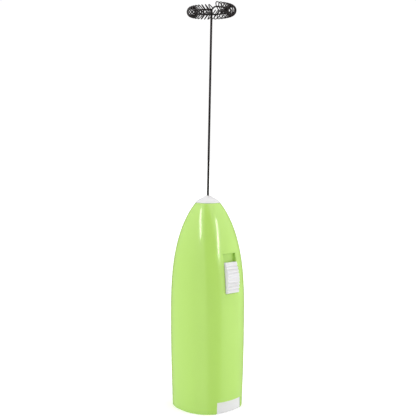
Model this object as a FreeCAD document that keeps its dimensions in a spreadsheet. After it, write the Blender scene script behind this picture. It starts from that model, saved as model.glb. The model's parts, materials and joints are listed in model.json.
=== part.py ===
import FreeCAD, Part
import math
import os
import re

import Sketcher
from FreeCAD import Placement, Rotation, Vector

# Battery milk frother, millimetres. The origin is on the spin axis in the plane of the base rim,
# +Z runs up the whisk rod and the switch face looks along -Y.

DIMENSIONS = [
    # ogive handle: rounded-square section scaled by one height formula
    ("body_half_width", 18.8), ("body_half_depth", 19.2), ("corner_share", 0.865),
    ("widest_level", 48.9), ("ogive_tip", 115.86), ("ogive_power", 2.81), ("ogive_root", 0.691),
    ("base_taper", 0.0000219), ("wall", 1.8), ("ledge_level", 3.0), ("cavity_top", 107.0),
    ("shell_top", 110.7), ("nose_bore", 4.0),
    # nose cap, bush and seal around the rod
    ("cap_top", 114.5), ("cap_top_radius", 2.3), ("spigot_bottom", 106.6), ("fit_gap", 0.06),
    ("rod_hole", 0.85), ("bush_radius", 2.1), ("bush_bottom", 106.9), ("bush_top", 109.9),
    ("seal_top", 111.4), ("running_gap", 0.04),
    # battery door and its hinge
    ("door_bottom", 0.4), ("door_top", 2.2), ("door_half_width", 16.0), ("door_front", 16.2),
    ("door_rear", 11.45), ("door_corner", 13.2), ("door_gap", 0.25), ("pin_back", 14.6),
    ("pin_level", 1.5), ("pin_radius", 0.5), ("pin_half_length", 7.2), ("barrel_radius", 1.15),
    ("barrel_half_length", 4.5), ("barrel_pocket", 16.3), ("tab_half_width", 8.5),
    ("tab_gap", 0.12), ("tab_top", 6.2), ("tab_recess", 0.3), ("tab_thickness", 1.7),
    ("tab_arc", 28.7), ("tongue_top", 7.8), ("tongue_half_width", 5.0), ("tongue_front", 15.9),
    ("tongue_back", 15.1),
    # switch, laid out on a plane tilted with the front face
    ("switch_tilt", 5.9), ("switch_level", 74.4), ("switch_depth", 17.8),
    ("recess_half_width", 4.4), ("recess_low", 10.55), ("recess_high", 10.4),
    ("recess_depth", 1.6), ("floor_depth", 3.0), ("boss_half_width", 6.6), ("boss_half_height", 12.2),
    ("slot_half_width", 2.1), ("slot_low", 6.0), ("slot_high", 4.9), ("slider_half_width", 4.25),
    ("slider_low", 10.4), ("slider_high", 5.8), ("slider_under", 1.45), ("slider_low_height", 1.0),
    ("slider_high_height", 0.8), ("slider_arch", 24.0), ("rib_groove", 0.42), ("rib_pitch", 1.75),
    ("stem_half_width", 1.9), ("stem_low", 5.8), ("stem_high", 0.2), ("carrier_half_width", 4.2),
    ("carrier_low", 6.8), ("carrier_high", 1.2), ("carrier_top", 3.1), ("carrier_bottom", 4.5),
    ("nose_bump", 1.45), ("nose_bump_middle", 2.8), ("nose_bump_depth", 4.9), ("carrier_lip", 0.8),
    # two AA cells, side by side and head to tail
    ("cell_radius", 7.25), ("cell_length", 50.5), ("nub_radius", 2.7), ("nub_height", 1.2),
    ("cell_offset", 7.6), ("cell_back", 2.0), ("cell_low_right", 7.3), ("cell_low_left", 2.55),
    # inner frame
    ("barrel_wall", 0.75), ("bore_gap", 0.2), ("frame_bottom", 5.0), ("deck_bottom", 58.1),
    ("deck_top", 60.0), ("sleeve_half_width", 11.6), ("sleeve_half_depth", 8.7),
    ("sleeve_top", 87.2), ("screw_back", 10.3), ("screw_boss", 2.1), ("screw_boss_low", 80.2),
    ("screw_core", 0.8), ("screw_head", 1.9), ("screw_head_height", 1.2), ("screw_length", 7.0),
    ("block_half_width", 4.0), ("block_front", 12.2), ("block_top", 65.0),
    ("retainer_top", 89.0), ("retainer_hole", 3.6),
    # contacts
    ("plate_half", 4.4), ("sheet_metal", 0.3), ("tag_half_width", 1.5), ("tag_top", 61.7),
    ("negative_tag_front", 1.7), ("positive_tag_front", 2.4),
    ("spring_radius", 3.0), ("spring_wire", 0.35), ("spring_pitch", 1.3),
    ("spring_clearance", 0.05),
    ("door_strip_half_width", 11.6), ("door_strip_half_depth", 4.0),
    ("leaf_front", 11.2), ("leaf_half_width", 2.0), ("leaf_low", 61.0), ("leaf_top", 80.0),
    ("strip_front", 9.6), ("strip_top", 77.5), ("solder_reach", 5.2), ("solder_low", 66.4),
    ("solder_top", 68.0), ("window_inner", 5.8), ("window_outer", 9.6), ("window_low", 60.3),
    ("lead_radius", 0.45), ("lead_bend", 1.5), ("low_lead_level", 61.1), ("high_lead_level", 62.6),
    ("outer_lead_across", 8.6), ("inner_lead_across", 7.0), ("inner_lead_front", 9.9),
    # motor
    ("motor_radius", 10.05), ("motor_flat", 7.55), ("can_low", 67.0), ("can_top", 87.2),
    ("can_wall", 0.7), ("endcap_low", 63.2), ("boss_radius", 3.05), ("boss_top", 88.8),
    ("magnet_outer", 9.3), ("magnet_inner", 7.0), ("magnet_low", 70.0), ("magnet_top", 84.5),
    ("magnet_half_depth", 5.6), ("core_radius", 6.5), ("core_low", 73.0), ("core_top", 82.0),
    ("hub_radius", 2.3), ("shoe_inner", 5.3), ("neck_half_width", 1.3), ("shoe_slot", 0.8),
    ("winding_half_width", 2.6), ("winding_outer", 5.1), ("winding_inner", 3.0),
    ("winding_overhang", 1.6), ("shaft_radius", 1.0), ("shaft_low", 63.6), ("shaft_top", 97.0),
    ("commutator_radius", 2.3), ("commutator_low", 66.6), ("commutator_top", 70.2),
    ("bearing_radius", 2.6), ("brush_half_width", 1.4), ("brush_reach", 7.0),
    ("brush_level", 67.4), ("terminal_low", 61.0),
    # coupling, rod and whisk
    ("coupler_radius", 2.5), ("coupler_low", 90.2), ("coupler_top", 104.0), ("rod_radius", 0.6),
    ("lean_level", 115.2), ("lean_bend", 40.0), ("lean_azimuth", 318.5), ("ring_offset", 1.6),
    ("ring_level", 212.24), ("ring_radius", 10.5), ("rod_bend", 1.8),
    ("spoke_azimuth", 236.2), ("turn_radius", 2.46), ("turn_wire", 0.3), ("turn_count", 34),
    ("ring_gap_angle", 12.0),
]
ALIASES = {name for name, value in DIMENSIONS}
LEVELS = [0.0, 16.0, 33.0, 50.0, 66.0, 80.0, 92.0, 102.0, 110.7]
CAVITY_LEVELS = [3.0, 26.0, 49.0, 66.0, 80.0, 92.0, 100.0, 107.0]

doc = FreeCAD.newDocument("milk_frother")
sheet = doc.addObject("Spreadsheet::Sheet", "Dims")
for row, (name, value) in enumerate(DIMENSIONS, start=1):
    sheet.set(f"A{row}", name)
    sheet.set(f"B{row}", str(value))
    sheet.setAlias(f"B{row}", name)
doc.recompute()

FINISHED = []


def formula(text):
    """Turn plain dimension names into references to the sheet."""
    return re.sub(r"[a-z_]+", lambda word: "Dims." + word.group() if word.group() in ALIASES
                  else word.group(), text)


def size(name):
    """Read one driving dimension as a number."""
    return float(sheet.get(name))


def bind(item, **values):
    """Tie properties to dimensions; a double underscore stands for a dot in the path."""
    for path, text in values.items():
        item.setExpression(path.replace("__", "."), formula(text))
    return item


def place(item, across="0", along="0", level="0"):
    """Tie an object's position to dimensions."""
    return bind(item, Placement__Base__x=across, Placement__Base__y=along, Placement__Base__z=level)


def finish(item, label):
    """Name a finished sub-part, which is written to parts/LABEL.step."""
    item.Label = label
    FINISHED.append(item)
    return item


# ---------------------------------------------------------------- Part workbench helpers

def box(name, x_range, y_range, z_range):
    """A box between pairs of formulas."""
    item = doc.addObject("Part::Box", name)
    for side, (low, high) in zip(("Length", "Width", "Height"), (x_range, y_range, z_range)):
        item.setExpression(side, formula(f"({high}) - ({low})"))
    return place(item, x_range[0], y_range[0], z_range[0])


def post(name, radius, low, high, across="0", along="0"):
    """A cylinder standing along Z."""
    item = bind(doc.addObject("Part::Cylinder", name), Radius=radius, Height=f"({high}) - ({low})")
    return place(item, across, along, low)


def cross_bar(name, radius, half_length, along, level):
    """A cylinder lying along X, centred on the middle plane."""
    item = bind(doc.addObject("Part::Cylinder", name), Radius=radius, Height=f"2 * ({half_length})")
    item.Placement = Placement(Vector(), Rotation(Vector(0, 1, 0), 90))
    return place(item, f"-({half_length})", along, level)


def turned(item, degrees):
    """Turn a placed object about the Z axis; its sizes and height stay tied to the sheet."""
    doc.recompute()
    corner = Vector(item.Placement.Base)
    turn = Rotation(Vector(0, 0, 1), degrees)
    item.setExpression("Placement.Base.x", None)
    item.setExpression("Placement.Base.y", None)
    item.Placement = Placement(turn.multVec(corner), turn)
    return item


def joined(name, pieces):
    item = doc.addObject("Part::MultiFuse", name)
    item.Shapes = pieces
    item.Refine = True
    return item


def without(name, base, tool):
    item = doc.addObject("Part::Cut", name)
    item.Base = base
    item.Tool = tool
    return item


def shared(name, first, second):
    item = doc.addObject("Part::Common", name)
    item.Base = first
    item.Tool = second
    return item


def group(name, pieces):
    """Several separate solids kept as one sub-part."""
    item = doc.addObject("Part::Compound", name)
    item.Links = pieces
    return item


def tube(name, outer, inner, low, high, across="0", along="0"):
    return without(name, post(name + "_outer", outer, low, high, across, along),
                   post(name + "_bore", inner, f"({low}) - 1", f"({high}) + 1", across, along))


# ---------------------------------------------------------------- PartDesign helpers

def new_body(label):
    body = doc.addObject("PartDesign::Body", label)
    return finish(body, label)


def new_sketch(body, name, role="XY_Plane", level="0"):
    """A sketch on one of the body's own planes, lifted along that plane's normal."""
    sketch = body.newObject("Sketcher::SketchObject", name)
    plane = [item for item in body.Origin.OriginFeatures if item.Role == role][0]
    sketch.AttachmentSupport = [(plane, "")]
    sketch.MapMode = "FlatFace"
    return bind(sketch, AttachmentOffset__Base__z=level)


def switch_sketch(body, name, lift):
    """A sketch parallel to the switch face, lifted outwards from it."""
    sketch = new_sketch(body, name, "XZ_Plane", f"switch_depth + ({lift}) * cos(switch_tilt)")
    turn = Rotation(Vector(1, 0, 0), -size("switch_tilt"))
    sketch.AttachmentOffset = Placement(sketch.AttachmentOffset.Base, turn)
    return bind(sketch, AttachmentOffset__Base__y=f"switch_level + ({lift}) * sin(switch_tilt)",
                AttachmentOffset__Rotation__Angle="-switch_tilt")


def profile_sketch(body, name, across="0"):
    """A sketch in the side plane of the switch: x runs up the face, y points outwards."""
    sketch = new_sketch(body, name, "YZ_Plane", across)
    turn = Rotation(Vector(0, 0, 1), 90 - size("switch_tilt"))
    sketch.AttachmentOffset = Placement(sketch.AttachmentOffset.Base, turn)
    return bind(sketch, AttachmentOffset__Base__x="-switch_depth",
                AttachmentOffset__Base__y="switch_level",
                AttachmentOffset__Rotation__Angle="90 - switch_tilt")


def fix(sketch, kind, where, text, start=1.0):
    """Add a dimensional constraint at its drawn value and tie it to the sheet."""
    index = sketch.addConstraint(Sketcher.Constraint(kind, *where, start))
    sketch.setExpression(f"Constraints[{index}]", formula(text))


def draw_rectangle(sketch, left, right, bottom, top):
    """A rectangle; the four formulas are distances from the origin to each side."""
    corners = [Vector(-1, -1, 0), Vector(1, -1, 0), Vector(1, 1, 0), Vector(-1, 1, 0)]
    first = sketch.GeometryCount
    for index in range(4):
        sketch.addGeometry(Part.LineSegment(corners[index], corners[(index + 1) % 4]), False)
    for index in range(4):
        here, after = first + index, first + (index + 1) % 4
        sketch.addConstraint(Sketcher.Constraint("Coincident", here, 2, after, 1))
        sketch.addConstraint(Sketcher.Constraint(("Horizontal", "Vertical")[index % 2], here))
    fix(sketch, "DistanceX", (first, 1, -1, 1), left)
    fix(sketch, "DistanceY", (first, 1, -1, 1), bottom)
    fix(sketch, "DistanceX", (-1, 1, first + 2, 1), right)
    fix(sketch, "DistanceY", (-1, 1, first + 2, 1), top)
    return sketch


def draw_rounded(sketch, half_width, front, back, radius):
    """A rectangle with four equal round corners; front and back are distances along Y."""
    side, bend = 10.0, 5.0
    flat = side - bend
    ends = [((side, -flat), (side, flat)), ((flat, side), (-flat, side)),
            ((-side, flat), (-side, -flat)), ((-flat, -side), (flat, -side))]
    centres = [(flat, flat), (-flat, flat), (-flat, -flat), (flat, -flat)]
    for index, ((start, stop), centre) in enumerate(zip(ends, centres)):
        sketch.addGeometry(Part.LineSegment(Vector(*start, 0), Vector(*stop, 0)), False)
        circle = Part.Circle(Vector(*centre, 0), Vector(0, 0, 1), bend)
        quarter = index * math.pi / 2
        sketch.addGeometry(Part.ArcOfCircle(circle, quarter, quarter + math.pi / 2), False)
    for index in range(8):
        sketch.addConstraint(Sketcher.Constraint("Tangent", index, 2, (index + 1) % 8, 1))
    for index in range(4):
        sketch.addConstraint(Sketcher.Constraint(("Vertical", "Horizontal")[index % 2], 2 * index))
    for index in (3, 5, 7):
        sketch.addConstraint(Sketcher.Constraint("Equal", 1, index))
    fix(sketch, "Radius", (1,), radius, bend)
    fix(sketch, "DistanceX", (-1, 1, 0, 1), half_width, side)
    fix(sketch, "DistanceX", (4, 1, -1, 1), half_width, side)
    fix(sketch, "DistanceY", (-1, 1, 2, 1), back, side)
    fix(sketch, "DistanceY", (6, 1, -1, 1), front, side)
    return sketch


def draw_circle(sketch, radius, across=None, up=None):
    """A circle on the origin, or at a distance across and up from it."""
    index = sketch.addGeometry(Part.Circle(Vector(1, 1, 0), Vector(0, 0, 1), 1.0), False)
    if across is None and up is None:
        sketch.addConstraint(Sketcher.Constraint("Coincident", index, 3, -1, 1))
    else:
        fix(sketch, "DistanceX", (-1, 1, index, 3), across)
        fix(sketch, "DistanceY", (-1, 1, index, 3), up)
    fix(sketch, "Radius", (index,), radius)
    return sketch


def pad(body, sketch, length, downwards=False, centred=False):
    feature = body.newObject("PartDesign::Pad", sketch.Name + "_pad")
    feature.Profile = sketch
    feature.Reversed = downwards
    feature.Midplane = centred
    return bind(feature, Length=length)


def pocket(body, sketch, length, upwards=False, centred=False):
    feature = body.newObject("PartDesign::Pocket", sketch.Name + "_pocket")
    feature.Profile = sketch
    feature.Reversed = upwards
    feature.Midplane = centred
    return bind(feature, Length=length)


def scale_at(level):
    """The formula for the section's scale at a height: a gentle taper below, an ogive above."""
    if level <= size("widest_level"):
        return f"(1 - base_taper * pow(widest_level - {level}; 2))"
    part = f"({level} - widest_level) / (ogive_tip - widest_level)"
    return f"pow(1 - pow({part}; ogive_power); ogive_root)"


def ogive(body, kind, name, levels, inset):
    """Loft the rounded-square sections through the levels, each inset by the same amount."""
    sections = []
    for index, level in enumerate(levels):
        scale = scale_at(level)
        sketch = new_sketch(body, f"{name}_{index}", "XY_Plane", str(level))
        half_width = f"body_half_width * {scale} - {inset}"
        half_depth = f"body_half_depth * {scale} - {inset}"
        radius = f"({half_width}) * corner_share"
        sections.append(draw_rounded(sketch, half_width, half_depth, half_depth, radius))
    loft = body.newObject(kind, name)
    loft.Profile = sections[0]
    loft.Sections = sections[1:]
    loft.Ruled = False
    return loft


# ---------------------------------------------------------------- handle

def make_body_shell():
    body = new_body("body_shell")
    ogive(body, "PartDesign::AdditiveLoft", "outside", LEVELS, "0")
    ogive(body, "PartDesign::SubtractiveLoft", "cavity", CAVITY_LEVELS, "wall")
    nose = draw_circle(new_sketch(body, "nose_opening", level="shell_top + 1"), "nose_bore")
    pocket(body, nose, "shell_top + 1 - cavity_top + 1")
    opening = new_sketch(body, "door_opening", level="ledge_level + door_gap")
    draw_rounded(opening, "door_half_width + door_gap", "door_front + door_gap",
                 "door_rear + 2 * door_gap", "door_corner")
    pocket(body, opening, "ledge_level + 1")
    barrel_room = new_sketch(body, "barrel_room", level="ledge_level + door_gap")
    draw_rectangle(barrel_room, "barrel_half_length + door_gap",
                   "barrel_half_length + door_gap", "0", "barrel_pocket")
    pocket(body, barrel_room, "ledge_level + 1")
    notch = new_sketch(body, "tab_notch", level="tab_top + tab_gap")
    draw_rectangle(notch, "tab_half_width + tab_gap", "tab_half_width + tab_gap",
                   "body_half_depth + 1", "-door_front + door_corner / 2")
    pocket(body, notch, "tab_top + 1")
    pin_hole = draw_circle(new_sketch(body, "pin_hole", "YZ_Plane"), "pin_radius", "pin_back",
                           "pin_level")
    pocket(body, pin_hole, "2 * pin_half_length", centred=True)
    boss = switch_sketch(body, "switch_boss", "-floor_depth")
    draw_rectangle(boss, "boss_half_width", "boss_half_width", "boss_half_height",
                   "boss_half_height")
    pad(body, boss, "floor_depth - 1")
    recess = switch_sketch(body, "switch_recess", "floor_depth")
    draw_rectangle(recess, "recess_half_width", "recess_half_width", "recess_low", "recess_high")
    pocket(body, recess, "floor_depth + recess_depth")
    slot = switch_sketch(body, "switch_slot", "floor_depth")
    draw_rectangle(slot, "slot_half_width", "slot_half_width", "slot_low", "slot_high")
    pocket(body, slot, "3 * floor_depth")


def make_nose_parts():
    body = new_body("nose_cap")
    loft_sections = []
    for index, (level, share) in enumerate([("shell_top", 1.0), ("shell_top + 1.5", 0.8),
                                            ("shell_top + 3", 0.53), ("cap_top", 0.0)]):
        sketch = new_sketch(body, f"cap_section_{index}", level=level)
        top = scale_at(LEVELS[-1])
        width = f"cap_top_radius + (body_half_width * {top} - cap_top_radius) * {share}"
        depth = f"cap_top_radius + (body_half_depth * {top} - cap_top_radius) * {share}"
        loft_sections.append(draw_rounded(sketch, width, depth, depth, f"({width}) * 0.95"))
    dome = body.newObject("PartDesign::AdditiveLoft", "dome")
    dome.Profile = loft_sections[0]
    dome.Sections = loft_sections[1:]
    spigot = draw_circle(new_sketch(body, "spigot", level="shell_top + 0.2"), "nose_bore - fit_gap")
    pad(body, spigot, "shell_top + 0.2 - spigot_bottom", downwards=True)
    doc.recompute()
    seat = draw_circle(new_sketch(body, "bush_seat", level="spigot_bottom - 1"), "bush_radius")
    pocket(body, seat, "seal_top - spigot_bottom + 1", upwards=True)
    hole = draw_circle(new_sketch(body, "rod_way", level="cap_top + 1"), "rod_hole")
    pocket(body, hole, "cap_top - spigot_bottom + 2")
    finish(tube("rod_bush", "bush_radius", "rod_radius + running_gap", "bush_bottom", "bush_top"),
           "rod_bush")
    finish(tube("rod_seal", "bush_radius", "rod_radius + running_gap", "bush_top + 0.1", "seal_top"),
           "rod_seal")


def draw_tab(sketch, outer_inset, thickness):
    """The tab's plan: two arcs about one centre on the middle plane, closed by straight sides."""
    reach = size("body_half_depth")
    radius = size("tab_arc")
    centre = Vector(0, radius - reach, 0)
    half = math.asin(size("tab_half_width") / radius)
    down = -math.pi / 2
    for arc_radius in (radius, radius - size("tab_thickness")):
        circle = Part.Circle(centre, Vector(0, 0, 1), arc_radius)
        sketch.addGeometry(Part.ArcOfCircle(circle, down - half, down + half), False)
    for end in (-1, 1):
        tips = [centre + Vector(end * arc_radius * math.sin(half), -arc_radius * math.cos(half), 0)
                for arc_radius in (radius, radius - size("tab_thickness"))]
        sketch.addGeometry(Part.LineSegment(tips[0], tips[1]), False)
    joins = [(0, 1, 2, 1), (2, 2, 1, 1), (1, 2, 3, 2), (3, 1, 0, 2)]
    for join in joins:
        sketch.addConstraint(Sketcher.Constraint("Coincident", *join))
    sketch.addConstraint(Sketcher.Constraint("Coincident", 0, 3, 1, 3))
    sketch.addConstraint(Sketcher.Constraint("PointOnObject", 0, 3, -2))
    sketch.addConstraint(Sketcher.Constraint("Vertical", 2))
    sketch.addConstraint(Sketcher.Constraint("Vertical", 3))
    fix(sketch, "Radius", (0,), "tab_arc")
    fix(sketch, "Radius", (1,), f"tab_arc - {thickness}")
    fix(sketch, "DistanceX", (0, 1, -1, 1), "tab_half_width")
    fix(sketch, "DistanceX", (-1, 1, 0, 2), "tab_half_width")
    fix(sketch, "DistanceY", (-1, 1, 0, 3), f"tab_arc - body_half_depth * {scale_at(0.0)}"
        f" + {outer_inset}")
    return sketch


def make_door():
    body = new_body("battery_door")
    plate = new_sketch(body, "door_plate", level="door_bottom")
    draw_rounded(plate, "door_half_width", "door_front", "door_rear", "door_corner")
    pad(body, plate, "door_top - door_bottom")
    web = draw_rectangle(new_sketch(body, "door_web", level="door_bottom"), "barrel_half_length",
                         "barrel_half_length", "0", "pin_back")
    pad(body, web, "door_top - door_bottom")
    barrel = draw_circle(new_sketch(body, "hinge_barrel", "YZ_Plane"), "barrel_radius",
                         "pin_back", "pin_level")
    pad(body, barrel, "2 * barrel_half_length", centred=True)
    tab = draw_tab(new_sketch(body, "tab", level="door_bottom"), "tab_recess", "tab_thickness")
    pad(body, tab, "tab_top - door_bottom")
    tongue = draw_rectangle(new_sketch(body, "tongue", level="door_bottom"), "tongue_half_width",
                            "tongue_half_width", "tongue_front", "-tongue_back")
    pad(body, tongue, "tongue_top - door_bottom")
    bore = draw_circle(new_sketch(body, "pin_bore", "YZ_Plane"), "pin_radius + running_gap",
                       "pin_back", "pin_level")
    pocket(body, bore, "2 * barrel_half_length + 1", centred=True)
    finish(cross_bar("door_hinge_pin", "pin_radius", "pin_half_length", "pin_back", "pin_level"),
           "door_hinge_pin")


# ---------------------------------------------------------------- switch

def arch_point(along_face):
    """Height of the slider's crown above the face at a place along it, from the arch radius."""
    low, high = -size("slider_low"), size("slider_high")
    height_low, height_high = size("slider_low_height"), size("slider_high_height")
    radius = size("slider_arch")
    chord = math.hypot(high - low, height_high - height_low)
    tilt = math.atan2(height_high - height_low, high - low)
    rise = math.sqrt(radius ** 2 - (chord / 2) ** 2)
    centre_along = (low + high) / 2 + rise * math.sin(tilt)
    centre_height = (height_low + height_high) / 2 - rise * math.cos(tilt)
    return centre_height + math.sqrt(radius ** 2 - (along_face - centre_along) ** 2)


def make_switch():
    body = new_body("switch_slider")
    side = profile_sketch(body, "slider_side")
    low, high, under = -size("slider_low"), size("slider_high"), -size("slider_under")
    crown = (low + high) / 2
    foot_low, foot_high = Vector(low, under, 0), Vector(high, under, 0)
    top_low = Vector(low, size("slider_low_height"), 0)
    top_high = Vector(high, size("slider_high_height"), 0)
    arch = Part.Arc(top_high, Vector(crown, arch_point(crown), 0), top_low)
    sketch_lines = [Part.LineSegment(foot_low, foot_high), Part.LineSegment(foot_high, top_high),
                    arch, Part.LineSegment(top_low, foot_low)]
    side.addGeometry(sketch_lines, False)
    for join in [(0, 2, 1, 1), (1, 2, 2, 1), (2, 2, 3, 1), (3, 2, 0, 1)]:
        side.addConstraint(Sketcher.Constraint("Coincident", *join))
    side.addConstraint(Sketcher.Constraint("Horizontal", 0))
    side.addConstraint(Sketcher.Constraint("Vertical", 1))
    side.addConstraint(Sketcher.Constraint("Vertical", 3))
    for kind, where, name in [("DistanceX", (0, 1, -1, 1), "slider_low"),
                              ("DistanceX", (-1, 1, 0, 2), "slider_high"),
                              ("DistanceY", (0, 1, -1, 1), "slider_under"),
                              ("DistanceY", (-1, 1, 1, 2), "slider_high_height"),
                              ("DistanceY", (-1, 1, 3, 1), "slider_low_height"),
                              ("Radius", (2,), "slider_arch")]:
        fix(side, kind, where, name, size(name))
    pad(body, side, "2 * slider_half_width", centred=True)
    doc.recompute()
    grooves = profile_sketch(body, "rib_grooves")
    count = int((high - low) / size("rib_pitch")) - 1
    for index in range(count):
        along = low + size("rib_pitch") * (index + 1)
        circle = Part.Circle(Vector(along, arch_point(along), 0), Vector(0, 0, 1),
                             size("rib_groove"))
        number = grooves.addGeometry(circle, False)
        grooves.addConstraint(Sketcher.Constraint("Block", number))
    pocket(body, grooves, "2 * slider_half_width + 1", centred=True)
    stem = switch_sketch(body, "stem", "-slider_under + 0.2")
    draw_rectangle(stem, "stem_half_width", "stem_half_width", "stem_low", "stem_high")
    pad(body, stem, "carrier_bottom - slider_under + 0.2", downwards=True)

    carrier = new_body("switch_carrier")
    plate = switch_sketch(carrier, "carrier_plate", "-carrier_top")
    draw_rectangle(plate, "carrier_half_width", "carrier_half_width", "carrier_low",
                   "carrier_high")
    pad(carrier, plate, "carrier_bottom - carrier_top", downwards=True)
    bump = draw_circle(profile_sketch(carrier, "nose_bump_side"), "nose_bump",
                       "-nose_bump_middle", "-nose_bump_depth")
    pad(carrier, bump, "2 * stem_half_width + 2 * carrier_lip", centred=True)
    doc.recompute()
    socket = switch_sketch(carrier, "stem_socket", "0")
    draw_rectangle(socket, "stem_half_width", "stem_half_width", "stem_low", "stem_high")
    pocket(carrier, socket, "carrier_bottom")


# ---------------------------------------------------------------- cells, frame and contacts

def make_cell(label, side, low, nub_up):
    """One AA cell: a can with its raised positive end up or down."""
    across, back = f"{side} * cell_offset", "cell_back"
    top = f"{low} + cell_length"
    if nub_up:
        can_range, nub_range = (low, f"{top} - nub_height"), (f"{top} - nub_height - 1", top)
    else:
        can_range, nub_range = (f"{low} + nub_height", top), (low, f"{low} + nub_height + 1")
    can = post(label + "_can", "cell_radius", *can_range, across, back)
    nub = post(label + "_nub", "nub_radius", *nub_range, across, back)
    finish(joined(label + "_solid", [can, nub]), label)


def motor_section(name, inset, low, high):
    """A slice of the motor's outline: a cylinder with two flats."""
    return shared(name, post(name + "_round", f"motor_radius - {inset}", low, high),
                  box(name + "_flats", ("-motor_radius", "motor_radius"),
                      (f"{inset} - motor_flat", f"motor_flat - {inset}"), (low, high)))


def make_frame():
    bore = "cell_radius + bore_gap"
    solids, voids = [], []
    for side, word in ((-1, "left"), (1, "right")):
        across = f"{side} * cell_offset"
        solids.append(post(f"barrel_{word}", f"{bore} + barrel_wall", "frame_bottom", "deck_top",
                           across, "cell_back"))
        voids.append(post(f"bore_{word}", bore, "frame_bottom - 1", "deck_bottom", across,
                          "cell_back"))
        front = {"left": "negative_tag_front", "right": "positive_tag_front"}[word]
        voids.append(box(f"tag_slot_{word}", (f"{across} - tag_half_width",
                                              f"{across} + tag_half_width"),
                         (f"-{front}", f"sheet_metal - {front}"),
                         ("deck_bottom - 1", "deck_top + 1")))
    voids.append(box("lead_window", ("window_inner", "window_outer"),
                     ("-sleeve_half_depth - 1", "-positive_tag_front"), ("window_low", "endcap_low")))
    solids.append(box("sleeve", ("-sleeve_half_width", "sleeve_half_width"),
                      ("-sleeve_half_depth", "sleeve_half_depth"), ("deck_bottom", "sleeve_top")))
    voids.append(motor_section("motor_pocket", "0", "deck_top", "sleeve_top + 1"))
    solids.append(box("contact_block", ("-block_half_width", "block_half_width"),
                      ("-block_front", "-sleeve_half_depth + 0.5"), ("deck_bottom", "block_top")))
    for front, word in (("leaf_front", "leaf"), ("strip_front", "strip")):
        voids.append(box(f"{word}_slot", ("-leaf_half_width", "leaf_half_width"),
                         (f"-{front}", f"sheet_metal - {front}"), ("leaf_low", "block_top + 1")))
    for side, word in ((-1, "front"), (1, "back")):
        along = f"{side} * screw_back"
        solids.append(post(f"screw_boss_{word}", "screw_boss", "screw_boss_low", "sleeve_top",
                           "0", along))
        voids.append(post(f"screw_hole_{word}", "screw_core",
                          "retainer_top - screw_length", "sleeve_top + 1", "0", along))
    frame = without("frame_hollowed", joined("frame_solids", solids), joined("frame_voids", voids))
    finish(frame, "inner_frame")


def make_retainer():
    plate = joined("retainer_solids", [
        shared("retainer_plate", post("retainer_round", "motor_radius + 1", "sleeve_top",
                                      "retainer_top"),
               box("retainer_sides", ("-sleeve_half_width", "sleeve_half_width"),
                   ("-sleeve_half_depth", "sleeve_half_depth"), ("sleeve_top", "retainer_top"))),
        box("retainer_bar", ("-screw_boss", "screw_boss"), ("-screw_back", "screw_back"),
            ("sleeve_top", "retainer_top")),
        post("retainer_eye_front", "screw_boss", "sleeve_top", "retainer_top", "0", "-screw_back"),
        post("retainer_eye_back", "screw_boss", "sleeve_top", "retainer_top", "0", "screw_back"),
    ])
    holes = joined("retainer_holes", [
        post("retainer_centre", "retainer_hole", "sleeve_top - 1", "retainer_top + 1"),
        post("retainer_screw_front", "screw_core", "sleeve_top - 1", "retainer_top + 1", "0",
             "-screw_back"),
        post("retainer_screw_back", "screw_core", "sleeve_top - 1", "retainer_top + 1", "0",
             "screw_back"),
    ])
    finish(without("retainer_cut", plate, holes), "motor_retainer")
    screws = []
    for side, word in ((-1, "front"), (1, "back")):
        along = f"{side} * screw_back"
        shank = post(f"shank_{word}", "screw_core", "retainer_top - screw_length", "retainer_top",
                     "0", along)
        head = post(f"head_{word}", "screw_head", "retainer_top",
                    "retainer_top + screw_head_height", "0", along)
        cross = box(f"cross_{word}", ("-screw_head * 0.6", "screw_head * 0.6"),
                    (f"{along} - 0.2", f"{along} + 0.2"),
                    ("retainer_top + screw_head_height / 2", "retainer_top + screw_head_height + 1"))
        screws.append(without(f"screw_{word}", joined(f"screw_body_{word}", [shank, head]), cross))
    finish(group("screw_pair", screws), "retainer_screws")


def make_spring(label, radius, wire, height, turns_pitch, across, level):
    """A compression spring: a helix of round wire, read from the sheet."""
    reach = height - 2 * wire
    path = Part.Wire(Part.makeLongHelix(turns_pitch, reach, radius).Edges)
    first = path.Edges[0]
    heading = first.tangentAt(first.FirstParameter)
    section = Part.Wire(Part.makeCircle(wire, Vector(radius, 0, 0), heading))
    item = doc.addObject("Part::Feature", label)
    item.Shape = path.makePipeShell([section], True, True)
    item.Placement = Placement(Vector(across, size("cell_back"), level + wire), Rotation())
    finish(item, label)


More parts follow.
